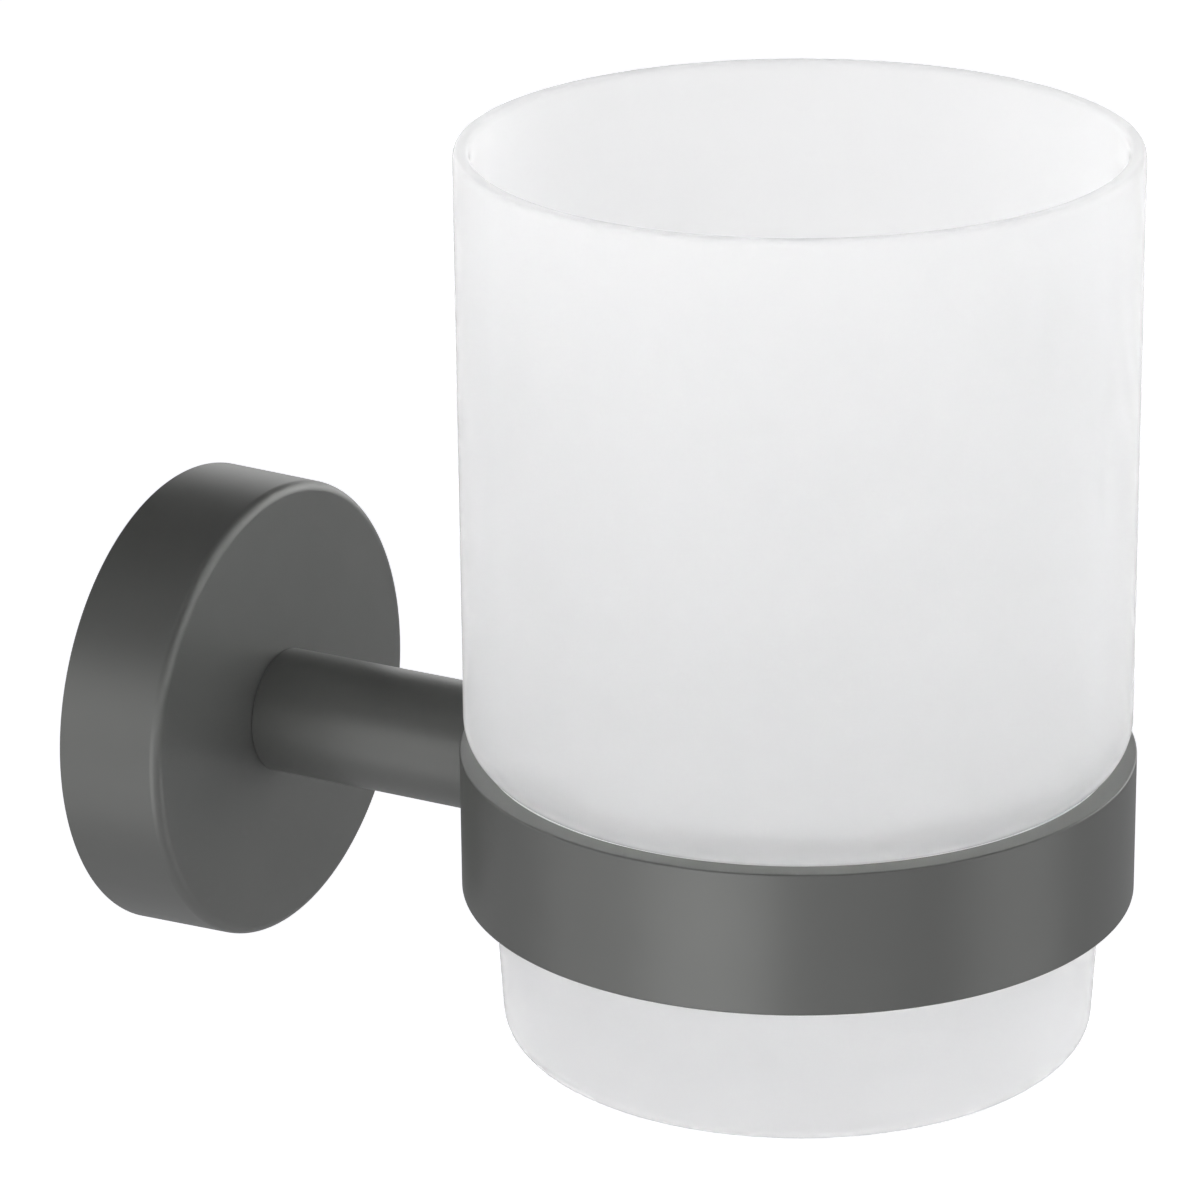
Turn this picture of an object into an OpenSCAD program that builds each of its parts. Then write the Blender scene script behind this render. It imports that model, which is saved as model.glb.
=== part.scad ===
// Wall-mounted tumbler holder with its frosted glass tumbler.
// Millimetres. The origin is the centre of the rosette's back rim, on the wall plane y = 0.
// +Z is up, the arm reaches out along -Y, and the ring's axis is vertical.

/* [Rosette] */
// Diameter of the rosette where it meets the wall
rosette_d = 54; // [52:0.5:60]
// Radius that the rosette's side loses from the wall to its front
rosette_draft = 0.3; // [0:0.05:0.6]
// Depth of the rosette from the wall to its front face
rosette_depth = 13.1; // [12.5:0.1:16]
// Thickness of the rosette's side
rosette_wall = 1.6; // [1.2:0.1:2]
// Thickness of the rosette's front
rosette_face = 2; // [1.5:0.1:2.4]
// Radius of the rosette's rounded front edge
rosette_edge_r = 1.2; // [0.4:0.1:1.5]

/* [Arm] */
// Diameter of the arm
arm_d = 14.4; // [13:0.1:18]
// Distance from the wall to the ring's axis
reach = 80; // [70:1:100]
// Diameter of the spigot that passes through the rosette into the carrier
spigot_d = 9; // [8:0.1:10]
// Depth of the flat along the spigot, which stops the arm turning
spigot_flat = 1; // [0.6:0.1:1.2]
// Distance by which the spigot stops short of the washer, so that the screw can pull
spigot_short = 0.25; // [0.1:0.05:0.5]
// Width of the chamfer at the foot of the arm
arm_chamfer = 0.1; // [0.05:0.05:0.4]

/* [Ring] */
// Height of the ring
ring_h = 16; // [12:0.5:22]
// Thickness of the ring's wall above its ledge
ring_wall = 2.55; // [2.4:0.05:3.5]
// Radius of the ring's outer edges
ring_edge_r = 0.2; // [0.1:0.05:0.6]
// Height of the ledge that carries the liner
ledge_h = 1.2; // [0.8:0.1:2]
// Width of the ledge
ledge_w = 0.5; // [0.4:0.05:0.6]

/* [Liner] */
// Wall of the plastic liner between ring and tumbler
liner_wall = 0.5; // [0.4:0.05:0.8]

/* [Tumbler] */
// Diameter of the tumbler above the ring
tumbler_d = 73.4; // [66:0.1:80]
// Width of the shoulder, from the side of the lower part to the side of the upper part
shoulder_w = 2.8; // [2:0.1:3.4]
// Radius lost by the lower part within the ring
lower_draft = 0.2; // [0:0.05:0.5]
// Radius lost by the lower part from the ring down to its foot
foot_draft = 0.9; // [0.3:0.1:2]
// Height of the tumbler above the foot of its shoulder
upper_h = 68.5; // [50:0.5:90]
// Height of the tumbler below its shoulder
lower_h = 33; // [28:0.5:45]
// Thickness of the glass wall
glass_wall = 1.85; // [1.5:0.05:2.2]
// Thickness of the glass base
glass_base = 6; // [4:0.5:9]
// Radius of the rounded shoulder that rests on the liner
shoulder_r = 5.1; // [3.5:0.1:6]
// Radius of the rounded foot
foot_r = 3; // [1.5:0.1:4]
// Radius of the rounded corner at the bottom of the cavity
cavity_r = 5; // [3:0.5:7]
// Height of the rounded lip
lip_h = 2; // [0.8:0.1:3]
// Depth of the hollow under the base
punt_h = 0.8; // [0.3:0.1:1.5]
// Width of the rim on which the tumbler stands when it is out of the ring
punt_rim = 5; // [3:0.5:8]

/* [Wall bracket] */
// Radial gap between the bracket's front edge and the carrier's skirt
bracket_play = 0.5; // [0.2:0.1:0.8]
// Radius by which the bracket's side narrows towards the wall
bracket_undercut = 1; // [0.5:0.1:1.4]
// Height of the bracket's rim from the wall
bracket_h = 7; // [6:0.1:7.5]
// Thickness of the bracket's rim at its front
bracket_rim = 2.2; // [2:0.1:3]
// Thickness of the bracket's base
bracket_base = 2; // [1.5:0.1:2.5]
// Distance between the two holes for wall screws
wall_screw_pitch = 25; // [22:0.5:27]
// Diameter of the holes for wall screws
wall_screw_hole_d = 4.8; // [4:0.1:5]
// Diameter of the countersinks for wall screws
wall_screw_sink_d = 8.4; // [7:0.1:8.8]
// Depth of the countersinks for wall screws
wall_screw_sink_h = 1.2; // [0.8:0.1:1.5]
// Diameter of the hole in the middle of the bracket
bracket_window_d = 12; // [10:0.5:13]

/* [Carrier] */
// Thickness of the carrier's front plate
carrier_plate = 2.5; // [2:0.1:3]
// Thickness of the carrier's skirt
carrier_skirt = 4; // [3.4:0.1:4.2]
// Gap between the carrier's skirt and the wall
carrier_setback = 1; // [0.5:0.1:1.5]

/* [Fasteners] */
// Thread diameter of the screw that holds the ring
ring_screw_d = 3; // [2.5:0.1:3.2]
// Head diameter of the screw that holds the ring
ring_screw_head_d = 5.6; // [5:0.1:5.8]
// Head height of the screw that holds the ring
ring_screw_head_h = 1.65; // [1.5:0.05:1.75]
// Depth of that head below the ring's bore
ring_screw_recess = 0.1; // [0.05:0.05:0.3]
// Length of the screw that holds the ring
ring_screw_len = 12; // [8:1:14]
// Diameter of the pins that stop the ring turning on the arm
ring_pin_d = 2; // [1.5:0.1:2.2]
// Length of those pins
ring_pin_len = 5; // [4:0.5:8]
// Distance of each pin from the arm's axis
ring_pin_offset = 4.7; // [4.6:0.1:5]
// Depth of the pins in the ring's wall
ring_pin_bite = 1.4; // [1:0.1:1.6]
// Spare depth of the pin holes in the arm
ring_pin_spare = 0.5; // [0.2:0.1:1]
// Thread diameter of the screw that holds the arm
arm_screw_d = 5; // [4:0.5:5]
// Head diameter of the screw that holds the arm
arm_screw_head_d = 8.5; // [8:0.1:9]
// Head height of the screw that holds the arm
arm_screw_head_h = 3.5; // [3:0.1:3.8]
// Length of the screw that holds the arm, under its head
arm_screw_len = 16; // [12:1:20]
// Diameter of the washer under that head
washer_d = 10; // [9.2:0.1:11]
// Thickness of the washer
washer_h = 1; // [0.8:0.1:1.2]
// Thread diameter of the grub screw
grub_d = 4; // [3:0.5:4]
// Diameter of the grub screw's flat tip
grub_tip_d = 2; // [1.5:0.1:2.5]
// Height of the cone at the grub screw's tip
grub_cone_h = 1; // [0.6:0.1:1.5]
// Depth of the grub screw's head below the carrier's side
grub_recess = 0.2; // [0.1:0.1:0.5]
// Diameter of the access hole for the grub screw in the rosette
grub_access_d = 4.6; // [4.4:0.1:5]
// Width across the flats of the hexagon sockets in the ring screw and the grub screw
socket_af = 2; // [1.5:0.1:2]
// Depth of the ring screw's socket
ring_socket_h = 1; // [0.6:0.1:1.2]
// Depth of the grub screw's socket
grub_socket_h = 2; // [1.5:0.1:2.5]
// Width across the flats of the arm screw's hexagon socket
arm_socket_af = 4; // [3:0.5:4]
// Depth of the arm screw's socket
arm_socket_h = 2.1; // [1.5:0.1:2.5]

/* [Clearances] */
// Radial play of the tumbler in the liner
tumbler_play = 0.15; // [0.1:0.05:0.3]
// Radial play of the liner in the ring
liner_play = 0.1; // [0.05:0.05:0.2]
// Height by which the tumbler's shoulder clears the ring's inner edge
shoulder_clear = 0.1; // [0.05:0.05:0.3]
// Gap between the tumbler's shoulder and the liner's inner edge
seat_gap = 0.02; // [0.01:0.01:0.05]
// Radial play of pins, screws and the spigot in their holes
fit = 0.05; // [0.02:0.01:0.1]
// Radial gap between the carrier and the rosette's side
carrier_play = 0.2; // [0.1:0.05:0.3]
// Gap between parts that are clamped face to face on a curve
saddle_gap = 0.02; // [0.01:0.01:0.05]
// Gap at the tip of the grub screw
tip_gap = 0.05; // [0.02:0.01:0.2]

/* [Hidden] */
$fn = 128;
// Length by which a cut runs past the face that it opens
over = 1;
// Angle between the points of the rounded lip
lip_step = 7.5;

graphite = "#5c5d5a";
zinc = "#a9abad";
steel = "#c2c4c6";
frost = [0.95, 0.96, 0.97, 0.85];
clear_plastic = "#d9dcdc";

arm_r = arm_d / 2;
rosette_r = rosette_d / 2;
rosette_front_r = rosette_r - rosette_draft;
rosette_bore_r = rosette_front_r - rosette_wall;

upper_r = tumbler_d / 2;
lower_r = upper_r - shoulder_w;
land_r = lower_r - lower_draft;
foot_side_r = land_r - foot_draft;
liner_bore_r = lower_r + tumbler_play;
liner_r = liner_bore_r + liner_wall;
ring_bore_r = liner_r + liner_play;
ring_r = ring_bore_r + ring_wall;
ring_top = ring_h / 2;
ledge_top = ledge_h - ring_top;

// Depth of the rounded shoulder below its centre, at a distance from the tumbler's axis
function shoulder_drop(r) = sqrt(pow(shoulder_r, 2) - pow(max(0, r - upper_r + shoulder_r), 2));
shoulder_z = ring_top + shoulder_clear + shoulder_drop(ring_bore_r);
liner_top = shoulder_z - shoulder_drop(liner_bore_r) - seat_gap;
tumbler_z = shoulder_z - shoulder_drop(lower_r) - lower_h;
lip_z = lower_h + upper_h - lip_h;

carrier_front = rosette_depth - rosette_face;
carrier_back = carrier_front - carrier_plate;
carrier_r = rosette_bore_r - carrier_play;
carrier_bore_r = carrier_r - carrier_skirt;
bracket_r = carrier_bore_r - bracket_play;
bracket_back_r = bracket_r - bracket_undercut;
bracket_cup_r = bracket_r - bracket_rim;
grub_y = (bracket_h + bracket_base) / 2;
grub_tip_r = bracket_r - bracket_undercut * (bracket_h - grub_y - grub_d / 2) / bracket_h + tip_gap;

spigot_end = carrier_back + spigot_short;
arm_screw_seat = carrier_back - washer_h;
arm_screw_end = arm_screw_seat + arm_screw_len;
ring_screw_top = ring_bore_r + ring_screw_recess;
pin_inner = ring_r - ring_pin_bite;

// Turns a shape drawn on its base so that its height runs out from the wall
module out_of_wall() {
    rotate([90, 0, 0]) children();
}

// Places a shape so that its height runs from the ring's axis towards the wall
module from_ring_axis() {
    translate([0, -reach, 0]) rotate([-90, 0, 0]) children();
}

// Places a shape so that its height runs down from the rosette's axis at the grub screw
module down_at_grub() {
    translate([0, -grub_y, 0]) rotate([180, 0, 0]) children();
}

// Places a copy of a shape at plus and minus a distance along one axis
module pair(offset) {
    for (side = [-1, 1]) translate(side * offset) children();
}

// Outline between a square corner at the origin and a round of radius r towards +x +y
module corner_waste(r) {
    difference() {
        translate([-over, -over]) square(r + over);
        translate([r, r]) circle(r);
    }
}

// Hexagon socket, open upwards at the origin
module socket(af, depth) {
    translate([0, 0, -depth]) cylinder(h = depth + over, r = af / sqrt(3), $fn = 6);
}

// Outline of the lower body or its cavity: a wall inside the lower part's, to a rounded foot
module lower_outline(inset, foot_z, round_r) {
    land_z = -ring_top - tumbler_z;
    difference() {
        polygon([
            [0, foot_z],
            [foot_side_r - inset, foot_z],
            [foot_side_r - inset, foot_z + round_r],
            [land_r - inset, land_z],
            [lower_r - inset, lower_h],
            [0, lower_h]
        ]);
        translate([foot_side_r - inset, foot_z]) mirror([1, 0]) corner_waste(round_r);
    }
}

// Outline of the upper body or its cavity, from the foot of its rounded shoulder to a height
module upper_outline(inset, h) {
    round_r = shoulder_r - inset;
    round_z = shoulder_z - tumbler_z;
    difference() {
        translate([0, round_z - round_r]) square([upper_r - inset, h - round_z + round_r]);
        translate([upper_r - inset, round_z - round_r]) mirror([1, 0]) corner_waste(round_r);
    }
}

// Outline of the rounded lip, from the height at which its rounding starts
module lip_outline() {
    lip_centre = upper_r - glass_wall / 2;
    polygon([for (a = [0 : lip_step : 180]) [
        lip_centre + glass_wall / 2 * cos(a),
        lip_z + lip_h * sin(a)
    ]]);
}

// Frosted glass tumbler with a shoulder that rests on the liner
module tumbler() {
    color(frost)
    translate([0, -reach, tumbler_z])
    rotate_extrude() {
        difference() {
            union() {
                lower_outline(0, 0, foot_r);
                upper_outline(0, lip_z);
                lip_outline();
            }
            lower_outline(glass_wall, glass_base, cavity_r);
            translate([0, lower_h]) square([lower_r - glass_wall, shoulder_r]);
            upper_outline(glass_wall, lip_z + over);
            translate([0, -over]) square([foot_side_r - punt_rim, punt_h + over]);
        }
    }
}

// Thin plastic sleeve that keeps the glass off the metal and turns in the ring
module ring_liner() {
    color(clear_plastic)
    translate([0, -reach, ledge_top])
    rotate_extrude()
    translate([liner_bore_r, 0]) square([liner_wall, liner_top - ledge_top]);
}

// Flat hoop with a ledge for the liner, screwed to the arm from inside
module holder_ring() {
    color(graphite)
    difference() {
        translate([0, -reach, -ring_top])
        rotate_extrude() {
            difference() {
                translate([ring_bore_r - ledge_w, 0]) square([ring_wall + ledge_w, ring_h]);
                translate([0, ledge_h]) square([ring_bore_r, ring_h]);
                translate([ring_r, 0]) mirror([1, 0]) corner_waste(ring_edge_r);
                translate([ring_r, ring_h]) rotate(180) corner_waste(ring_edge_r);
            }
        }
        from_ring_axis() {
            cylinder(h = ring_r + over, r = ring_screw_d / 2 + fit);
            translate([0, 0, ring_bore_r - over])
            cylinder(h = ring_screw_top - ring_bore_r + over, r = ring_screw_head_d / 2 + fit);
            translate([0, 0, ring_screw_top])
            cylinder(
                h = ring_screw_head_h,
                r1 = ring_screw_head_d / 2 + fit,
                r2 = ring_screw_d / 2 + fit
            );
            pair([0, ring_pin_offset, 0])
            translate([0, 0, pin_inner]) cylinder(h = ring_pin_len, r = ring_pin_d / 2 + fit);
        }
    }
}

// Countersunk screw from inside the ring into the end of the arm
module ring_screw() {
    color(steel)
    from_ring_axis()
    translate([0, 0, ring_screw_top])
    difference() {
        union() {
            cylinder(h = ring_screw_head_h, r1 = ring_screw_head_d / 2, r2 = ring_screw_d / 2);
            cylinder(h = ring_screw_len, r = ring_screw_d / 2);
        }
        mirror([0, 0, 1]) socket(socket_af, ring_socket_h);
    }
}

// Two dowels above and below the ring screw
module ring_pins() {
    color(steel)
    from_ring_axis()
    pair([0, ring_pin_offset, 0])
    translate([0, 0, pin_inner + saddle_gap]) cylinder(h = ring_pin_len, r = ring_pin_d / 2);
}

// Solid arm, hollowed to sit on the ring, with a flatted spigot at the rosette
module arm() {
    color(graphite)
    difference() {
        union() {
            out_of_wall()
            translate([0, 0, rosette_depth]) {
                cylinder(h = arm_chamfer, r1 = arm_r - arm_chamfer, r2 = arm_r);
                translate([0, 0, arm_chamfer])
                cylinder(h = reach - ring_bore_r - rosette_depth, r = arm_r);
            }
            out_of_wall()
            translate([0, 0, spigot_end]) {
                difference() {
                    cylinder(h = rosette_depth - spigot_end + over, r = spigot_d / 2);
                    translate([-spigot_d, spigot_d / 2 - spigot_flat, -over])
                    cube([2 * spigot_d, spigot_d, rosette_depth - spigot_end + over]);
                }
            }
        }
        translate([0, -reach, -arm_d]) cylinder(h = 2 * arm_d, r = ring_r + saddle_gap);
        out_of_wall()
        translate([0, 0, spigot_end - over])
        cylinder(h = arm_screw_end - spigot_end + 2 * over, r = arm_screw_d / 2 + fit);
        from_ring_axis() {
            cylinder(h = ring_screw_top + ring_screw_len + over, r = ring_screw_d / 2 + fit);
            pair([0, ring_pin_offset, 0])
            cylinder(h = pin_inner + ring_pin_len + ring_pin_spare, r = ring_pin_d / 2 + fit);
        }
    }
}

// Hole that the arm's flatted spigot passes through
module spigot_hole(h) {
    difference() {
        cylinder(h = h, r = spigot_d / 2 + fit);
        translate([-spigot_d, spigot_d / 2 - spigot_flat + fit, -over])
        cube([2 * spigot_d, spigot_d, h + 2 * over]);
    }
}

// Round cover that hides the bracket and rests on the wall
module rosette() {
    color(graphite)
    difference() {
        out_of_wall()
        difference() {
            rotate_extrude()
            difference() {
                polygon([
                    [0, 0], [rosette_r, 0], [rosette_front_r, rosette_depth], [0, rosette_depth]
                ]);
                square([rosette_bore_r, carrier_front]);
                translate([rosette_front_r, rosette_depth]) rotate(180)
                corner_waste(rosette_edge_r);
            }
            translate([0, 0, carrier_front - over]) spigot_hole(rosette_face + 2 * over);
        }
        down_at_grub() cylinder(h = rosette_r + over, r = grub_access_d / 2);
    }
}

// Cast carrier inside the rosette, clamped behind it by the arm's screw
module carrier() {
    color(zinc)
    difference() {
        out_of_wall()
        difference() {
            translate([0, 0, carrier_setback])
            cylinder(h = carrier_front - carrier_setback, r = carrier_r);
            translate([0, 0, carrier_setback - over])
            cylinder(h = carrier_back - carrier_setback + over, r = carrier_bore_r);
            translate([0, 0, carrier_back - over]) spigot_hole(carrier_plate + 2 * over);
        }
        down_at_grub() cylinder(h = rosette_r, r = grub_d / 2 + fit);
    }
}

// Washer between the carrier and the head of the arm's screw
module carrier_washer() {
    color(steel)
    out_of_wall()
    translate([0, 0, arm_screw_seat])
    difference() {
        cylinder(h = washer_h, r = washer_d / 2);
        translate([0, 0, -over]) cylinder(h = washer_h + 2 * over, r = arm_screw_d / 2 + fit);
    }
}

// Cap screw that pulls arm, rosette and carrier together
module carrier_screw() {
    color(steel)
    out_of_wall()
    difference() {
        union() {
            translate([0, 0, arm_screw_seat - arm_screw_head_h])
            cylinder(h = arm_screw_head_h, r = arm_screw_head_d / 2);
            translate([0, 0, arm_screw_seat - over])
            cylinder(h = arm_screw_len + over, r = arm_screw_d / 2);
        }
        translate([0, 0, arm_screw_seat - arm_screw_head_h])
        mirror([0, 0, 1]) socket(arm_socket_af, arm_socket_h);
    }
}

// Grub screw in the underside, which draws the carrier onto the bracket
module grub_screw() {
    head_r = carrier_r - grub_recess;
    cone_end = grub_tip_r + grub_cone_h;
    color(steel)
    down_at_grub()
    difference() {
        union() {
            translate([0, 0, grub_tip_r])
            cylinder(h = grub_cone_h, r1 = grub_tip_d / 2, r2 = grub_d / 2);
            translate([0, 0, cone_end]) cylinder(h = head_r - cone_end, r = grub_d / 2);
        }
        translate([0, 0, head_r]) socket(socket_af, grub_socket_h);
    }
}

// Bracket that is screwed to the wall first, with a side that narrows towards the wall
module wall_bracket() {
    color(zinc)
    out_of_wall()
    difference() {
        cylinder(h = bracket_h, r1 = bracket_back_r, r2 = bracket_r);
        translate([0, 0, bracket_base]) cylinder(h = bracket_h, r = bracket_cup_r);
        translate([0, 0, -over]) cylinder(h = bracket_h, r = bracket_window_d / 2);
        pair([wall_screw_pitch / 2, 0, 0]) {
            translate([0, 0, -over]) cylinder(h = bracket_h, r = wall_screw_hole_d / 2);
            translate([0, 0, bracket_base - wall_screw_sink_h])
            cylinder(
                h = wall_screw_sink_h,
                r1 = wall_screw_hole_d / 2,
                r2 = wall_screw_sink_d / 2
            );
            translate([0, 0, bracket_base])
            cylinder(h = over, r = wall_screw_sink_d / 2);
        }
    }
}

tumbler();
ring_liner();
holder_ring();
ring_screw();
ring_pins();
arm();
rosette();
carrier();
carrier_washer();
carrier_screw();
grub_screw();
wall_bracket();
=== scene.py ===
"""Looks of a wall-mounted tumbler holder with its frosted glass tumbler.

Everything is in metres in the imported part's own frame. The origin is the centre of the
rosette's back rim on the wall plane, +Z is up, and the arm reaches out along -Y to a ring
with a vertical axis.
"""
import logging
import math
from collections.abc import Iterable, Sequence
from dataclasses import dataclass, field
from enum import Enum

import bmesh
import bpy
from bpy.types import Material, Mesh, Node, NodeSocket, NodeTree, Object
from mathutils import Matrix, Vector


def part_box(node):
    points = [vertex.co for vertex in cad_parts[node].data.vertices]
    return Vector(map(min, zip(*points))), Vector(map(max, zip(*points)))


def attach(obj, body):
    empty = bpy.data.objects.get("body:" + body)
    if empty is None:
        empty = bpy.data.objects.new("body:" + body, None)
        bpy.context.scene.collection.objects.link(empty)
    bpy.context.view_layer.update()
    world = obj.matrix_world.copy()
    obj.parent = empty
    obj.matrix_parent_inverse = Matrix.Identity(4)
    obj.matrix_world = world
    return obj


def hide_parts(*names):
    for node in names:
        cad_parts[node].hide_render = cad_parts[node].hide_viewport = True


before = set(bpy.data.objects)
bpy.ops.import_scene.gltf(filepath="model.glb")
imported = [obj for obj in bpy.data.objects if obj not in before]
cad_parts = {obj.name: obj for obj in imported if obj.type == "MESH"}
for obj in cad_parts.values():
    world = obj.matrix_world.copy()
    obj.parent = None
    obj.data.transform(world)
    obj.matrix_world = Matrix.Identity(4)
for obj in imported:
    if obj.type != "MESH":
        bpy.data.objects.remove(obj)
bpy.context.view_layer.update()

LOG = logging.getLogger("tumbler_holder")

Rgba = tuple[float, float, float, float]
SocketValue = NodeSocket | float | Sequence[float]

ROUND_STEPS = 256
SMALL_ROUND_STEPS = 64
SCREW_STEPS = 48
HEXAGON = 6
ARC_STEP = math.radians(7.5)
SHARP_ANGLE = math.radians(34)
OVERRUN = 0.001
ON_AXIS = 1e-9
MILLIMETRE = 0.001
# Depth of a metric thread's groove, as a share of its pitch
METRIC_GROOVE = 0.6134


class Body(Enum):
    """The bodies that a piece can ride on."""

    HOLDER = "holder"
    LINER = "liner"
    TUMBLER = "tumbler"


class Slot(Enum):
    """The record's material slots."""

    GLASS = "frosted_glass"
    LINER = "liner_plastic"
    GRAPHITE = "satin_graphite"
    FASTENER = "fastener_steel"
    GRUB = "grub_steel"
    ZINC = "cast_zinc"


def linear(hex_colour: str) -> Rgba:
    """Turns an sRGB hex colour into linear light.

    Args:
        hex_colour: The colour as "#rrggbb".

    Returns:
        Linear red, green and blue, with an alpha of one.
    """
    channels = [int(hex_colour[i : i + 2], 16) / 255 for i in (1, 3, 5)]
    red, green, blue = (c / 12.92 if c <= 0.04045 else ((c + 0.055) / 1.055) ** 2.4 for c in channels)
    return (red, green, blue, 1.0)


def add_node(
    tree: NodeTree,
    kind: str,
    settings: dict[str, object] | None = None,
    inputs: dict[str | int, SocketValue] | None = None,
) -> Node:
    """Adds a shader node with its settings and links.

    Args:
        tree: The node tree that takes the node.
        kind: The node's type name.
        settings: Properties of the node.
        inputs: Input sockets by name or number. A socket is linked, a value is set.

    Returns:
        The new node.
    """
    node = tree.nodes.new(kind)
    for name, value in (settings or {}).items():
        setattr(node, name, value)
    for name, value in (inputs or {}).items():
        if isinstance(value, NodeSocket):
            tree.links.new(value, node.inputs[name])
        else:
            node.inputs[name].default_value = value
    return node


@dataclass(frozen=True)
class Grain:
    """An even pattern on a surface, such as grit or stains, with the real size of its spots."""

    size_mm: float
    detail: float = 3.0


@dataclass(frozen=True)
class Finish:
    """A surface finish, from what the real material is and how its surface was made.

    The texture swings the roughness to both sides of its middle. Where there is a drift, the
    colour wanders to the pale one and back. Where there is a relief, it roughens the skin.
    """

    name: str
    slot: Slot
    colour: str
    roughness: float
    swing: float
    texture: Grain
    pale: str = "#ffffff"
    drift: Grain | None = None
    relief: Grain | None = None
    relief_depth: float = 0.0
    relief_strength: float = 0.0
    metallic: float = 0.0
    transmission: float = 0.0
    ior: float = 1.5

    def material(self) -> Material:
        """Builds the finish's material on first use.

        Returns:
            The material, which all pieces of this finish share.
        """
        found = bpy.data.materials.get(self.name)
        if found:
            return found
        made = bpy.data.materials.new(self.name)
        made.use_nodes = True
        tree = made.node_tree
        tree.nodes.clear()
        place = add_node(tree, "ShaderNodeTexCoord").outputs["Object"]
        patterns = {}
        for grain in dict.fromkeys(filter(None, (self.texture, self.drift, self.relief))):
            scale = 1 / (grain.size_mm * MILLIMETRE)
            noise = {"Vector": place, "Scale": scale, "Detail": grain.detail}
            patterns[grain] = add_node(tree, "ShaderNodeTexNoise", inputs=noise).outputs[0]
        gloss = {
            "Value": patterns[self.texture],
            "To Min": self.roughness - self.swing,
            "To Max": self.roughness + self.swing,
        }
        inputs = {
            "Base Color": linear(self.colour),
            "Metallic": self.metallic,
            "Roughness": add_node(tree, "ShaderNodeMapRange", inputs=gloss).outputs[0],
            "IOR": self.ior,
            "Transmission Weight": self.transmission,
        }
        if self.drift:
            tones = {"Factor": patterns[self.drift], 6: linear(self.colour), 7: linear(self.pale)}
            inputs["Base Color"] = add_node(tree, "ShaderNodeMix", {"data_type": "RGBA"}, tones).outputs[2]
        if self.relief:
            skin = {
                "Height": patterns[self.relief],
                "Strength": self.relief_strength,
                "Distance": self.relief_depth,
            }
            inputs["Normal"] = add_node(tree, "ShaderNodeBump", inputs=skin).outputs[0]
        shader = add_node(tree, "ShaderNodeBsdfPrincipled", inputs=inputs)
        add_node(tree, "ShaderNodeOutputMaterial", inputs={"Surface": shader.outputs[0]})
        return made


@dataclass(frozen=True)
class GraphiteCoat(Finish):
    """Brass, blasted fine and coated satin graphite.

    The eye sees a dark, slightly warm grey with soft highlights and no brushing. The blasted
    coat scatters about half of the light and mirrors the rest. Its grit is finer than the
    render can show, so it is drawn coarser.
    """

    name: str = "satin_graphite_on_blasted_brass"
    slot: Slot = Slot.GRAPHITE
    colour: str = "#727371"
    pale: str = "#777876"
    drift: Grain = Grain(9.0, detail=2.0)
    metallic: float = 0.5
    roughness: float = 0.36
    swing: float = 0.02
    texture: Grain = Grain(0.3)
    relief: Grain = Grain(0.3)
    relief_depth: float = 0.00002
    relief_strength: float = 0.06


@dataclass(frozen=True)
class EtchedGlass(Finish):
    """Soda-lime glass, pressed and then etched with acid inside and out.

    The eye sees a soft white body that lets light through and blurs all that stands
    behind it, with no sharp reflection. The etch is finer than the render can show, so it
    is drawn coarser.
    """

    name: str = "acid_etched_soda_lime_glass"
    slot: Slot = Slot.GLASS
    colour: str = "#fefefe"
    transmission: float = 0.9
    ior: float = 1.52
    roughness: float = 0.95
    swing: float = 0.03
    texture: Grain = Grain(0.35)
    relief: Grain = Grain(0.35)
    relief_depth: float = 0.00002
    relief_strength: float = 0.05


@dataclass(frozen=True)
class SoftPolyethylene(Finish):
    """Natural polyethylene, moulded as a thin sleeve.

    The eye sees a milky edge that lets a little light in, with faint flow marks.
    """

    name: str = "moulded_natural_polyethylene"
    slot: Slot = Slot.LINER
    colour: str = "#f0f1f1"
    transmission: float = 0.1
    roughness: float = 0.45
    swing: float = 0.05
    texture: Grain = Grain(4.0, detail=2.0)


@dataclass(frozen=True)
class DieCastZinc(Finish):
    """Zinc alloy, die cast and left raw.

    The eye sees a matt mid-grey metal with a mottled cast skin and fine pits.
    """

    name: str = "raw_die_cast_zinc"
    slot: Slot = Slot.ZINC
    colour: str = "#8f9193"
    pale: str = "#bcbec0"
    drift: Grain = Grain(2.5, detail=4.0)
    metallic: float = 1.0
    roughness: float = 0.5
    swing: float = 0.08
    texture: Grain = Grain(2.5, detail=4.0)
    relief: Grain = Grain(0.25, detail=1.0)
    relief_depth: float = 0.00004
    relief_strength: float = 0.25


@dataclass(frozen=True)
class ZincPlatedSteel(Finish):
    """Steel screws and pins, cold headed and zinc plated.

    The eye sees a bright bluish metal with small cloudy stains from the bath.
    """

    name: str = "zinc_plated_steel"
    slot: Slot = Slot.FASTENER
    colour: str = "#b3b8be"
    pale: str = "#cfd0d0"
    drift: Grain = Grain(1.2)
    metallic: float = 1.0
    roughness: float = 0.3
    swing: float = 0.07
    texture: Grain = Grain(1.2)


@dataclass(frozen=True)
class BlackenedSteel(Finish):
    """Hardened steel, blackened in a hot salt bath.

    The eye sees a nearly black metal with a dull shine from its uneven oil film.
    """

    name: str = "blackened_hardened_steel"
    slot: Slot = Slot.GRUB
    colour: str = "#353536"
    metallic: float = 1.0
    roughness: float = 0.42
    swing: float = 0.08
    texture: Grain = Grain(0.8)


@dataclass(frozen=True)
class Corner:
    """A corner of a turned outline, rounded by an arc where its radius is above zero."""

    radius: float
    height: float
    round_r: float = 0.0

    @property
    def point(self) -> Vector:
        """The corner before it is rounded."""
        return Vector((self.radius, self.height))


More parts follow.
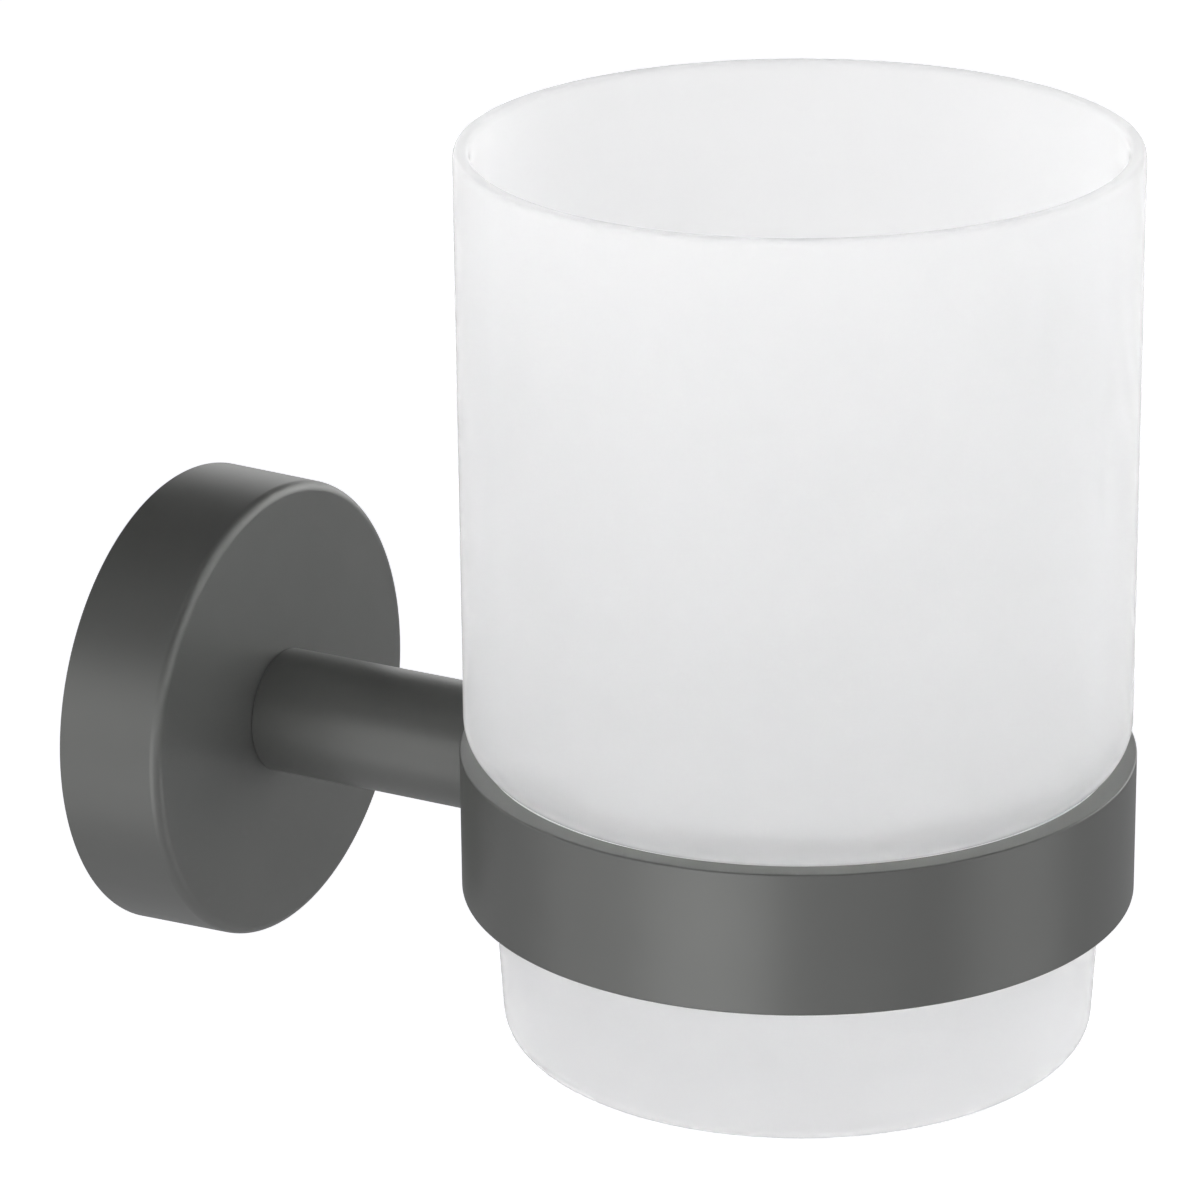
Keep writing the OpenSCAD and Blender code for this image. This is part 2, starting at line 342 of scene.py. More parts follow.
def rounded(corners: Sequence[Corner]) -> list[Vector]:
    """Replaces each rounded corner of a closed or open outline by its arc.

    Args:
        corners: The outline's corners in order. A rounded one has a neighbour on each side.

    Returns:
        The outline's points.
    """
    points = []
    for number, corner in enumerate(corners):
        if corner.round_r <= 0:
            points.append(corner.point)
            continue
        back = (corners[number - 1].point - corner.point).normalized()
        ahead = (corners[(number + 1) % len(corners)].point - corner.point).normalized()
        half = back.angle(ahead) / 2
        centre = corner.point + (back + ahead).normalized() * corner.round_r / math.sin(half)
        start = corner.point + back * corner.round_r / math.tan(half) - centre
        turn = math.copysign(math.pi - 2 * half, back.cross(ahead))
        steps = max(2, math.ceil(abs(turn) / ARC_STEP))
        for step in range(steps + 1):
            points.append(centre + Matrix.Rotation(-turn * step / steps, 2) @ start)
    return points


def arc(centre: Vector, radius: float, start: float, end: float) -> list[Vector]:
    """Works out the points of an arc in a turned outline.

    Args:
        centre: The arc's centre, as radius and height.
        radius: The arc's radius.
        start: Angle at which it starts, from the outward direction.
        end: Angle at which it ends.

    Returns:
        The arc's points, with both its ends.
    """
    steps = max(2, math.ceil(abs(end - start) / ARC_STEP))
    angles = [start + (end - start) * step / steps for step in range(steps + 1)]
    return [centre + radius * Vector((math.cos(angle), math.sin(angle))) for angle in angles]


def stepped(*corners: tuple[float, float]) -> list[Vector]:
    """Works out the outline of a solid turned piece.

    Args:
        corners: Radius and height of each corner, without the two ends on the axis.

    Returns:
        The outline's points, from axis to axis.
    """
    first, last = corners[0][1], corners[-1][1]
    return [Vector(point) for point in ((0, first), *corners, (0, last))]


def sleeve(inner: float, outer: float, low: float, high: float, round_r: float) -> list[Vector]:
    """Works out the closed outline of a sleeve or a washer with rounded edges.

    Args:
        inner: Radius of its bore.
        outer: Its outer radius.
        low: Height at which it starts.
        high: Height at which it ends.
        round_r: Radius of its edges.

    Returns:
        The outline's points.
    """
    places = ((inner, low), (outer, low), (outer, high), (inner, high))
    return rounded([Corner(radius, height, round_r) for radius, height in places])


class Relief:
    """Something cut all round a turned piece, such as a thread or a knurl."""

    def depth_at(self, height: float, turn: float) -> float:
        """Gives the depth of the cut at a place on the side.

        Args:
            height: Height on the piece.
            turn: Angle about the piece's axis, in turns.

        Returns:
            Depth below the side, which is zero outside the relief.
        """
        raise NotImplementedError

    def cut(self, mesh: Mesh) -> None:
        """Draws in the points of a turned mesh.

        Args:
            mesh: The mesh in its own upright frame.
        """
        for vertex in mesh.vertices:
            x, y, height = vertex.co
            radius = math.hypot(x, y)
            depth = self.depth_at(height, math.atan2(y, x) / math.tau)
            if 0 < depth < radius:
                vertex.co = (x * (1 - depth / radius), y * (1 - depth / radius), height)


@dataclass(frozen=True)
class Thread(Relief):
    """A screw thread between two heights."""

    start: float
    end: float
    pitch: float
    rows_per_pitch: int = 6

    def heights(self) -> list[float]:
        """Heights of the rows that the thread needs."""
        count = math.ceil((self.end - self.start) / self.pitch * self.rows_per_pitch)
        return [self.start + (self.end - self.start) * row / count for row in range(count + 1)]

    def depth_at(self, height: float, turn: float) -> float:
        """Gives the groove's depth, which fades out at the thread's ends.

        Args:
            height: Height on the screw.
            turn: Angle about the screw's axis, in turns.

        Returns:
            Depth below the side.
        """
        wave = abs(((height / self.pitch - turn) % 1) * 2 - 1)
        fade = min(height - self.start, self.end - height) / self.pitch
        return METRIC_GROOVE * self.pitch * wave * max(0.0, min(1.0, fade))


@dataclass(frozen=True)
class Knurl(Relief):
    """Straight knurling round a screw's head, between two heights."""

    start: float
    end: float
    teeth: int
    depth: float

    def depth_at(self, height: float, turn: float) -> float:
        """Gives the depth between two teeth."""
        inside = self.start < height < self.end
        return self.depth * abs((turn * self.teeth % 1) * 2 - 1) if inside else 0.0


def turned_mesh(name: str, outline: Sequence[Vector], closed: bool, steps: int) -> Mesh:
    """Turns an outline about the upright axis.

    Args:
        name: The mesh's name.
        outline: Points as radius and height. An open outline starts and ends on the axis.
        closed: Whether the last point joins the first, as on a ring.
        steps: Number of faces around.

    Returns:
        The turned mesh, with its faces pointing outwards.
    """
    shape = bmesh.new()
    rows = []
    for radius, height in outline:
        if radius < ON_AXIS:
            rows.append([shape.verts.new((0, 0, height))])
            continue
        row = []
        for step in range(steps):
            angle = math.tau * step / steps
            row.append(shape.verts.new((radius * math.cos(angle), radius * math.sin(angle), height)))
        rows.append(row)
    pairs = list(zip(rows, rows[1:]))
    if closed:
        pairs.append((rows[-1], rows[0]))
    for low, high in pairs:
        for step in range(steps):
            after = (step + 1) % steps
            around = [low[step % len(low)], low[after % len(low)]]
            around += [high[after % len(high)], high[step % len(high)]]
            shape.faces.new(dict.fromkeys(around))
    bmesh.ops.recalc_face_normals(shape, faces=shape.faces)
    mesh = bpy.data.meshes.new(name)
    shape.to_mesh(mesh)
    shape.free()
    return mesh


def place_mesh(name: str, mesh: Mesh, place: Matrix) -> Object:
    """Puts a mesh in the scene, with its place in its points.

    Args:
        name: The piece's name.
        mesh: The mesh in its own upright frame.
        place: The move from that frame to the part's.

    Returns:
        The new object.
    """
    mesh.transform(place)
    piece = bpy.data.objects.new(name, mesh)
    bpy.context.scene.collection.objects.link(piece)
    return piece


def turned(
    name: str,
    outline: Sequence[Vector],
    place: Matrix,
    closed: bool = False,
    steps: int = ROUND_STEPS,
    reliefs: Iterable[Relief] = (),
) -> Object:
    """Makes a turned piece in its place.

    Args:
        name: The piece's name.
        outline: Points as radius and height.
        place: The move from the upright frame to the part's.
        closed: Whether the outline is a ring's.
        steps: Number of faces around.
        reliefs: Threads and knurls that are cut into it.

    Returns:
        The new object.
    """
    mesh = turned_mesh(name, outline, closed, steps)
    for relief in reliefs:
        relief.cut(mesh)
    return place_mesh(name, mesh, place)


def drill(radius: float, start: float, end: float, place: Matrix, steps: int = SMALL_ROUND_STEPS) -> Object:
    """Makes a round cutting tool.

    Args:
        radius: Radius of the hole.
        start: Height at which the tool starts.
        end: Height at which it ends.
        place: The move from the upright frame to the part's.
        steps: Number of faces around.

    Returns:
        The tool.
    """
    return turned("tool", stepped((radius, start), (radius, end)), place, steps=steps)


def block(low: Sequence[float], high: Sequence[float], place: Matrix) -> Object:
    """Makes a square cutting tool.

    Args:
        low: Its lowest corner.
        high: Its highest corner.
        place: The move from the upright frame to the part's.

    Returns:
        The tool.
    """
    shape = bmesh.new()
    bmesh.ops.create_cube(shape, size=1.0)
    mesh = bpy.data.meshes.new("tool")
    shape.to_mesh(mesh)
    shape.free()
    size = Vector(high) - Vector(low)
    middle = (Vector(high) + Vector(low)) / 2
    return place_mesh("tool", mesh, place @ Matrix.Translation(middle) @ Matrix.Diagonal((*size, 1)))


def flatted_drill(radius: float, flat: float, start: float, end: float, place: Matrix) -> Object:
    """Makes a cutting tool for a round hole with one flat side.

    Args:
        radius: Radius of the hole.
        flat: Distance of the flat from the hole's axis.
        start: Height at which the tool starts.
        end: Height at which it ends.
        place: The move from the upright frame to the part's.

    Returns:
        The tool.
    """
    tool = drill(radius, start, end, place)
    low = (-2 * radius, flat, start - OVERRUN)
    high = (2 * radius, flat + 2 * radius, end + OVERRUN)
    cut(tool, [block(low, high, place)])
    return tool


def cut(piece: Object, tools: Iterable[Object], operation: str = "DIFFERENCE") -> None:
    """Cuts tools out of a piece, or joins them to it, and deletes them.

    Args:
        piece: The piece that is changed.
        tools: Closed meshes.
        operation: The boolean modifier's operation.
    """
    tools = list(tools)
    for tool in tools:
        modifier = piece.modifiers.new("cut", "BOOLEAN")
        modifier.operation = operation
        modifier.solver = "EXACT"
        modifier.object = tool
    bpy.context.view_layer.update()
    evaluated = piece.evaluated_get(bpy.context.evaluated_depsgraph_get())
    mesh = bpy.data.meshes.new_from_object(evaluated)
    piece.modifiers.clear()
    piece.data = mesh
    for tool in tools:
        bpy.data.objects.remove(tool)


def cut_socket(screw: Object, across: float, start: float, end: float, place: Matrix) -> None:
    """Cuts a hexagon socket, given by its width across flats, into a screw."""
    cut(screw, [drill(across / math.sqrt(3), start, end, place, steps=HEXAGON)])


def finish_piece(piece: Object, finish: Finish, body: Body, node: str) -> None:
    """Smooths a piece but for its sharp edges, dresses and mounts it, and reports it.

    Args:
        piece: The piece in its place.
        finish: Its finish.
        body: The body that it rides on.
        node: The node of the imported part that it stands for.
    """
    piece.data.shade_smooth()
    piece.data.set_sharp_from_angle(angle=SHARP_ANGLE)
    weighted = piece.modifiers.new("weighted_normals", "WEIGHTED_NORMAL")
    weighted.keep_sharp = True
    piece.data.materials.clear()
    piece.data.materials.append(finish.material())
    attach(piece, body.value)
    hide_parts(node)
    LOG.info("%s: %d faces, %s, rides on %s", piece.name, len(piece.data.polygons), finish.name, body.value)


def radius_of(node: str) -> float:
    """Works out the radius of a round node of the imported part."""
    low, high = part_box(node)
    return (high.x - low.x) / 2


def wall_span(node: str) -> tuple[float, float]:
    """Gives the lowest and the highest distance of a node from the wall."""
    low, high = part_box(node)
    return -high.y, -low.y


@dataclass(frozen=True)
class Layout:
    """Places and sizes that several sub-assemblies share."""

    axis_y: float
    wall_to_front: float
    ring_r: float
    ring_top: float
    liner_top: float
    arm_r: float
    spigot_hole_r: float = 0.00455
    spigot_hole_flat: float = 0.00355
    grub_y: float = 0.0045

    @classmethod
    def from_frame(cls) -> "Layout":
        """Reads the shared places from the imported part's nodes.

        Returns:
            The layout.
        """
        ring_low, ring_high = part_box("holder_ring")
        arm_low, arm_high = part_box("arm")
        return cls(
            axis_y=(ring_low.y + ring_high.y) / 2,
            wall_to_front=wall_span("rosette")[1],
            ring_r=radius_of("holder_ring"),
            ring_top=ring_high.z,
            liner_top=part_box("ring_liner")[1].z,
            arm_r=(arm_high.z - arm_low.z) / 2,
        )

    def ring_axis(self, height: float = 0.0) -> Matrix:
        """Upright frame on the ring's axis, at a height."""
        return Matrix.Translation((0, self.axis_y, height))

    def out_of_wall(self) -> Matrix:
        """Frame on the rosette's axis whose height runs out from the wall."""
        return Matrix.Rotation(math.pi / 2, 4, "X")

    def towards_wall(self, offset: float = 0.0) -> Matrix:
        """Frame whose height runs from the ring's axis to the wall, moved up by an offset."""
        return Matrix.Translation((0, self.axis_y, offset)) @ Matrix.Rotation(-math.pi / 2, 4, "X")

    def below(self) -> Matrix:
        """Frame whose height runs down from the rosette's axis at the grub screw."""
        return Matrix.Translation((0, -self.grub_y, 0)) @ Matrix.Rotation(math.pi, 4, "X")

    def spigot_hole(self, start: float, end: float) -> Object:
        """Makes the cutting tool for the arm's flatted spigot, between two heights out of the wall."""
        return flatted_drill(self.spigot_hole_r, self.spigot_hole_flat, start, end, self.out_of_wall())


@dataclass
class Tumbler:
    """Frosted glass with a shoulder that rests on the liner in the ring."""

    layout: Layout
    wall: float = 0.00185
    base: float = 0.006
    lower_r: float = 0.0339
    land_draft: float = 0.0002
    foot_draft: float = 0.0009
    play: float = 0.00015
    seat_gap: float = 0.00002
    shoulder_r: float = 0.0051
    neck_r: float = 0.0015
    foot_r: float = 0.003
    cavity_r: float = 0.005
    lip_h: float = 0.002
    lip_power: float = 0.45
    lip_steps: int = 24
    punt_h: float = 0.0008
    punt_rim: float = 0.005
    finish: Finish = field(default_factory=EtchedGlass)

    @property
    def foot_side_r(self) -> float:
        """Radius at which the lower part starts to round into its foot."""
        return self.lower_r - self.land_draft - self.foot_draft

    def foot_corner(self, inset: float, foot_z: float, round_r: float, land: float) -> Corner:
        """Works out the corner that a tapering side makes with the foot before it is rounded.

        Args:
            inset: Distance of the side inside the glass's outer side.
            foot_z: Height of the foot.
            round_r: Radius of the foot's round.
            land: Height at which the taper ends.

        Returns:
            The corner.
        """
        slope = self.foot_draft / (land - foot_z - round_r)
        return Corner(self.foot_side_r - inset - slope * round_r, foot_z, round_r)

    def outline(self) -> list[Vector]:
        """Works out the section of the glass.

        Returns:
            Points from the hollow under its base, over the lip, to the floor of its cavity.
        """
        low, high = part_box("tumbler")
        outer = radius_of("tumbler")
        lip_z = high.z - low.z - self.lip_h
        land = -self.layout.ring_top - low.z
        land_r = self.lower_r - self.land_draft
        seat_run = self.lower_r + self.play - outer + self.shoulder_r
        seat_rise = math.sqrt(self.shoulder_r**2 - seat_run**2)
        seat_z = self.layout.liner_top + self.seat_gap + seat_rise - low.z
        centre = Vector((outer - self.shoulder_r, seat_z))
        shoulder_foot = -math.acos((self.lower_r - centre.x) / self.shoulder_r)
        inner_r = self.shoulder_r - self.wall
        neck_x = self.lower_r - self.wall + self.neck_r
        neck_run = neck_x - centre.x
        neck_drop = math.sqrt((inner_r + self.neck_r) ** 2 - neck_run**2)
        neck_angle = -math.atan2(neck_drop, neck_run)
        punt = self.foot_side_r - self.punt_rim
        outside = [
            Corner(0, self.punt_h),
            Corner(punt, self.punt_h, self.punt_h / 2),
            Corner(punt + self.punt_h, 0, self.punt_h / 2),
            self.foot_corner(0, 0, self.foot_r, land),
            Corner(land_r, land),
        ]
        inside = [
            Corner(land_r - self.wall, land),
            self.foot_corner(self.wall, self.base, self.cavity_r, land),
            Corner(0, self.base),
        ]
        return (
            rounded(outside)
            + arc(centre, self.shoulder_r, shoulder_foot, 0)
            + self.lip(outer - self.wall / 2, lip_z)
            + arc(centre, inner_r, 0, neck_angle)
            + arc(Vector((neck_x, centre.y - neck_drop)), self.neck_r, neck_angle + math.pi, math.pi)[1:]
            + rounded(inside)
        )

    def lip(self, middle: float, start: float) -> list[Vector]:
        """Works out the lip, which is flat on top with rounded edges.

        Args:
            middle: Radius of the middle of the wall.
            start: Height at which the lip's rounding starts.

        Returns:
            Points from the outer to the inner wall.
        """
        points = []
        for step in range(self.lip_steps + 1):
            angle = math.pi * step / self.lip_steps
            run = math.copysign(abs(math.cos(angle)) ** self.lip_power, math.cos(angle))
            rise = abs(math.sin(angle)) ** self.lip_power
            points.append(Vector((middle + self.wall / 2 * run, start + self.lip_h * rise)))
        return points

    def build(self) -> None:
        """Makes the tumbler on its body."""
        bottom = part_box("tumbler")[0].z
        glass = turned("glass_tumbler", self.outline(), self.layout.ring_axis(bottom))
        finish_piece(glass, self.finish, Body.TUMBLER, "tumbler")


@dataclass
class RingAssembly:
    """The hoop that holds the tumbler, its plastic liner, and what screws it to the arm."""

    layout: Layout
    bore_r: float = 0.03465
    ledge_h: float = 0.0012
    ledge_w: float = 0.0005
    edge_r: float = 0.0002
    liner_wall: float = 0.0005
    liner_play: float = 0.0001
    liner_lift: float = 0.00002
    liner_edge_r: float = 0.0001
    screw_r: float = 0.0015
    screw_head_r: float = 0.0028
    screw_head_h: float = 0.00165
    screw_len: float = 0.012
    screw_pitch: float = 0.0005
    screw_recess: float = 0.0001
    socket_af: float = 0.002
    socket_h: float = 0.001
    pin_r: float = 0.001
    pin_len: float = 0.005
    pin_offset: float = 0.0047
    pin_bite: float = 0.0014
    pin_edge_r: float = 0.0002
    pin_gap: float = 0.00002
    fit: float = 0.00005
    metal: Finish = field(default_factory=GraphiteCoat)
    plastic: Finish = field(default_factory=SoftPolyethylene)
    steel: Finish = field(default_factory=ZincPlatedSteel)

    def build(self) -> None:
        """Makes the ring, the liner, the screw and the two pins."""
        self.build_ring()
        self.build_liner()
        self.build_screw()
        self.build_pins()

    def pin_places(self) -> list[Matrix]:
        """Frames of the pin above the screw and the pin below it."""
        return [self.layout.towards_wall(side * self.pin_offset) for side in (1, -1)]

    def build_ring(self) -> None:
        """Turns the hoop and drills it from inside."""
        outer = self.layout.ring_r
        top = self.layout.ring_top
        ledge_r = self.bore_r - self.ledge_w
        corners = [
            Corner(ledge_r, -top, self.edge_r),
            Corner(outer, -top, self.edge_r),
            Corner(outer, top, self.edge_r),
            Corner(self.bore_r, top, self.edge_r),
            Corner(self.bore_r, self.ledge_h - top),
            Corner(ledge_r, self.ledge_h - top),
        ]
        ring = turned("holder_ring_hoop", rounded(corners), self.layout.ring_axis(), closed=True)
        seat = self.bore_r + self.screw_recess
        sink = stepped(
            (self.screw_head_r + self.fit, self.bore_r - OVERRUN),
            (self.screw_head_r + self.fit, seat),
            (self.screw_r + self.fit, seat + self.screw_head_h),
            (self.screw_r + self.fit, outer + OVERRUN),
        )
        tools = [turned("tool", sink, self.layout.towards_wall(), steps=SMALL_ROUND_STEPS)]
        inner = outer - self.pin_bite
        for place in self.pin_places():
            tools.append(drill(self.pin_r + self.fit, inner, inner + self.pin_len, place))
        cut(ring, tools)
        finish_piece(ring, self.metal, Body.HOLDER, "holder_ring")

    def build_liner(self) -> None:
        """Turns the plastic sleeve."""
        low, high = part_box("ring_liner")
        outer = self.bore_r - self.liner_play
        inner = outer - self.liner_wall
        outline = sleeve(inner, outer, low.z + self.liner_lift, high.z, self.liner_edge_r)
        liner = turned("plastic_liner", outline, self.layout.ring_axis(), closed=True)
        finish_piece(liner, self.plastic, Body.LINER, "ring_liner")

    def build_screw(self) -> None:
        """Turns the countersunk screw, with its thread and its hexagon socket."""
        place = self.layout.towards_wall()
        seat = self.bore_r + self.screw_recess
        shank = seat + self.screw_head_h
        end = seat + self.screw_len
        thread = Thread(shank + self.screw_pitch, end, self.screw_pitch)
        corners = [Corner(0, seat), Corner(self.screw_head_r, seat), Corner(self.screw_r, shank)]
        corners += [Corner(self.screw_r, height) for height in thread.heights()[:-1]]
        corners += [Corner(self.screw_r, end, self.screw_pitch / 2), Corner(0, end)]
        outline = rounded(corners)
        screw = turned("ring_countersunk_screw", outline, place, steps=SCREW_STEPS, reliefs=[thread])
        cut_socket(screw, self.socket_af, seat - OVERRUN, seat + self.socket_h, place)
        finish_piece(screw, self.steel, Body.HOLDER, "ring_screw")

    def build_pins(self) -> None:
        """Turns the two dowels, which share one node."""
        start = self.layout.ring_r - self.pin_bite + self.pin_gap
        corners = [
            Corner(0, start),
            Corner(self.pin_r, start, self.pin_edge_r),
            Corner(self.pin_r, start + self.pin_len, self.pin_edge_r),
            Corner(0, start + self.pin_len),
        ]
        upper, lower = (
            turned("ring_dowel_pins", rounded(corners), place, steps=SMALL_ROUND_STEPS)
            for place in self.pin_places()
        )
        cut(upper, [lower], "UNION")
        finish_piece(upper, self.steel, Body.HOLDER, "ring_pins")


@dataclass
class Arm:
    """The solid arm between rosette and ring, with its flatted spigot."""

    layout: Layout
    ring: RingAssembly
    foot_chamfer: float = 0.0001
    spigot_r: float = 0.0045
    spigot_flat: float = 0.001
    saddle_gap: float = 0.00002
    saddle_rings: int = 10
    arm_screw_r: float = 0.0025
    arm_screw_end: float = 0.0236
    pin_spare: float = 0.0005
    finish: Finish = field(default_factory=GraphiteCoat)

    def build(self) -> None:
        """Turns the arm, fits its end to the ring and drills both ends."""
        front = self.layout.wall_to_front
        back, _ = wall_span("arm")
        reach = -self.layout.axis_y
        radius = self.layout.arm_r
        outline = stepped(
            (self.spigot_r, back),
            (self.spigot_r, front),
            (radius - self.foot_chamfer, front),
            (radius, front + self.foot_chamfer),
            *((radius * (1 - ring / self.saddle_rings), reach) for ring in range(self.saddle_rings)),
        )
        bore = self.layout.out_of_wall()
        arm = turned("arm_bar", outline, bore)
        self.fit_saddle(arm)
        flat = self.spigot_r - self.spigot_flat
        half = 2 * self.spigot_r
        seat = self.ring.bore_r + self.ring.screw_recess
        screw_end = seat + self.ring.screw_len + OVERRUN
        tools = [
            block((-half, flat, back - OVERRUN), (half, flat + half, front), bore),
            drill(self.arm_screw_r + self.ring.fit, back - OVERRUN, self.arm_screw_end + OVERRUN, bore),
            drill(self.ring.screw_r + self.ring.fit, 0, screw_end, self.layout.towards_wall()),
        ]
        pin_end = self.layout.ring_r - self.ring.pin_bite + self.ring.pin_len + self.pin_spare
        for place in self.ring.pin_places():
            tools.append(drill(self.ring.pin_r + self.ring.fit, 0, pin_end, place))
        cut(arm, tools)
        finish_piece(arm, self.finish, Body.HOLDER, "arm")

    def fit_saddle(self, arm: Object) -> None:
        """Moves the arm's far end onto the ring's round side.

        Args:
            arm: The arm with a flat end on the ring's axis.
        """
        end = self.layout.axis_y
        radius = self.layout.ring_r + self.saddle_gap
        for vertex in arm.data.vertices:
            if vertex.co.y < end + OVERRUN:
                vertex.co.y = end + math.sqrt(radius**2 - vertex.co.x**2)


@dataclass
class Rosette:
    """Round cover that hides the fixing and rests on the wall."""

    layout: Layout
    draft: float = 0.0003
    wall: float = 0.0016
    face: float = 0.002
    edge_r: float = 0.0012
    rim_r: float = 0.0002
    inner_r: float = 0.0008
    access_r: float = 0.0023
    access_inset: float = 0.003
    finish: Finish = field(default_factory=GraphiteCoat)

    def build(self) -> None:
        """Turns the cover, and drills it for the arm's spigot and the grub screw's key."""
        outer = radius_of("rosette")
        depth = self.layout.wall_to_front
        front_r = outer - self.draft
        bore_r = front_r - self.wall
        corners = [
            Corner(0, depth),
            Corner(front_r, depth, self.edge_r),
            Corner(outer, 0, self.rim_r),
            Corner(bore_r, 0, self.rim_r),
            Corner(bore_r, depth - self.face, self.inner_r),
            Corner(0, depth - self.face),
        ]
        rosette = turned("rosette_cover", rounded(corners), self.layout.out_of_wall())
        spigot_hole = self.layout.spigot_hole(depth - self.face - OVERRUN, depth + OVERRUN)
        access = drill(self.access_r, bore_r - self.access_inset, outer + OVERRUN, self.layout.below())
        cut(rosette, [spigot_hole, access])
        finish_piece(rosette, self.finish, Body.HOLDER, "rosette")


@dataclass
class WallFixing:
    """What the rosette hides: the bracket on the wall, the carrier and their fasteners."""

    layout: Layout
    bracket_undercut: float = 0.001
    bracket_rim: float = 0.0022
    bracket_base: float = 0.002
    wall_hole_r: float = 0.0024
    wall_sink_r: float = 0.0042
    wall_sink_h: float = 0.0012
    wall_hole_x: float = 0.0125
    window_r: float = 0.006
    carrier_plate: float = 0.0025
    carrier_skirt: float = 0.004
    cast_edge_r: float = 0.0004
    cast_inner_r: float = 0.001
    fit: float = 0.00005
    washer_edge_r: float = 0.00015
    cap_screw_r: float = 0.0025
    cap_head_r: float = 0.00425
    cap_head_h: float = 0.0035
    cap_socket_af: float = 0.004
    cap_socket_h: float = 0.0021
    cap_pitch: float = 0.0008
    cap_edge: float = 0.0003
    knurl_teeth: int = 32
    knurl_faces: int = 4
    knurl_depth: float = 0.00015
    grub_r: float = 0.002
    grub_tip_r: float = 0.001
    grub_cone_h: float = 0.001
    grub_socket_af: float = 0.002
    grub_socket_h: float = 0.002
    grub_pitch: float = 0.0007
    zinc: Finish = field(default_factory=DieCastZinc)
    steel: Finish = field(default_factory=ZincPlatedSteel)
    black: Finish = field(default_factory=BlackenedSteel)

    def build(self) -> None:
        """Makes the castings, the washer and the two screws."""
        self.build_bracket()
        self.build_carrier()
        self.build_washer()
        self.build_cap_screw()
        self.build_grub_screw()

    def build_bracket(self) -> None:
        """Turns the cast cup and gives it its two countersunk holes."""
        front_r = radius_of("wall_bracket")
        _, front = wall_span("wall_bracket")
        cup_r = front_r - self.bracket_rim
        corners = [
            Corner(self.window_r, 0, self.cast_edge_r),
            Corner(front_r - self.bracket_undercut, 0, self.cast_edge_r),
            Corner(front_r, front, self.cast_edge_r),
            Corner(cup_r, front, self.cast_edge_r),
            Corner(cup_r, self.bracket_base, self.cast_inner_r),
            Corner(self.window_r, self.bracket_base, self.cast_edge_r),
        ]
        bracket = turned("wall_bracket_cup", rounded(corners), self.layout.out_of_wall(), closed=True)
        sink = stepped(
            (self.wall_hole_r, -OVERRUN),
            (self.wall_hole_r, self.bracket_base - self.wall_sink_h),
            (self.wall_sink_r, self.bracket_base),
            (self.wall_sink_r, self.bracket_base + OVERRUN),
        )
        out = self.layout.out_of_wall()
        places = [Matrix.Translation((side * self.wall_hole_x, 0, 0)) @ out for side in (-1, 1)]
        cut(bracket, [turned("tool", sink, place, steps=SMALL_ROUND_STEPS) for place in places])
        finish_piece(bracket, self.zinc, Body.HOLDER, "wall_bracket")

    def build_carrier(self) -> None:
        """Turns the cast carrier and gives it its holes for the arm and the grub screw."""
        outer = radius_of("carrier")
        back, front = wall_span("carrier")
        bore_r = outer - self.carrier_skirt
        plate = front - self.carrier_plate
        corners = [
            Corner(0, plate),
            Corner(bore_r, plate, self.cast_inner_r),
            Corner(bore_r, back, self.cast_edge_r),
            Corner(outer, back, self.cast_edge_r),
            Corner(outer, front, self.cast_edge_r),
            Corner(0, front),
        ]
        carrier = turned("fixing_carrier", rounded(corners), self.layout.out_of_wall())
        spigot_hole = self.layout.spigot_hole(plate - OVERRUN, front + OVERRUN)
        grub_hole = drill(self.grub_r + self.fit, bore_r - OVERRUN, outer + OVERRUN, self.layout.below())
        cut(carrier, [spigot_hole, grub_hole])
        finish_piece(carrier, self.zinc, Body.HOLDER, "carrier")

    def build_washer(self) -> None:
        """Turns the washer under the cap screw's head."""
        inner = self.cap_screw_r + self.fit
        outer = radius_of("carrier_washer")
        outline = sleeve(inner, outer, *wall_span("carrier_washer"), self.washer_edge_r)
        place = self.layout.out_of_wall()
        washer = turned("cap_screw_washer", outline, place, closed=True, steps=SMALL_ROUND_STEPS)
        finish_piece(washer, self.steel, Body.HOLDER, "carrier_washer")

    def build_cap_screw(self) -> None:
        """Turns the cap screw, with its knurled head, its socket and its thread."""
        top, end = wall_span("carrier_screw")
        seat = top + self.cap_head_h
        edge = self.cap_edge
        thread = Thread(seat + self.cap_pitch, end, self.cap_pitch)
        knurl = Knurl(top + edge / 2, seat - edge / 2, self.knurl_teeth, self.knurl_depth)
        outline = stepped(
            (self.cap_head_r - edge, top),
            (self.cap_head_r, top + edge),
            (self.cap_head_r, seat - edge),
            (self.cap_head_r - edge, seat),
            (self.cap_screw_r, seat),
            *((self.cap_screw_r, height) for height in thread.heights()[:-1]),
            (self.cap_screw_r - self.cap_pitch / 2, end),
        )
        place = self.layout.out_of_wall()
        steps = self.knurl_faces * self.knurl_teeth
        screw = turned("arm_cap_screw", outline, place, steps=steps, reliefs=[thread, knurl])
        cut_socket(screw, self.cap_socket_af, top - OVERRUN, top + self.cap_socket_h, place)
        finish_piece(screw, self.steel, Body.HOLDER, "carrier_screw")

    def build_grub_screw(self) -> None:
        """Turns the grub screw, with its cone, its thread and its socket."""
        low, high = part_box("grub_screw")
        tip, head = -high.z, -low.z
        cone = tip + self.grub_cone_h
        thread = Thread(cone, head, self.grub_pitch)
        outline = stepped((self.grub_tip_r, tip), *((self.grub_r, height) for height in thread.heights()))
        place = self.layout.below()
        screw = turned("cone_grub_screw", outline, place, steps=SCREW_STEPS, reliefs=[thread])
        cut_socket(screw, self.grub_socket_af, head - self.grub_socket_h, head + OVERRUN, place)
        finish_piece(screw, self.black, Body.HOLDER, "grub_screw")


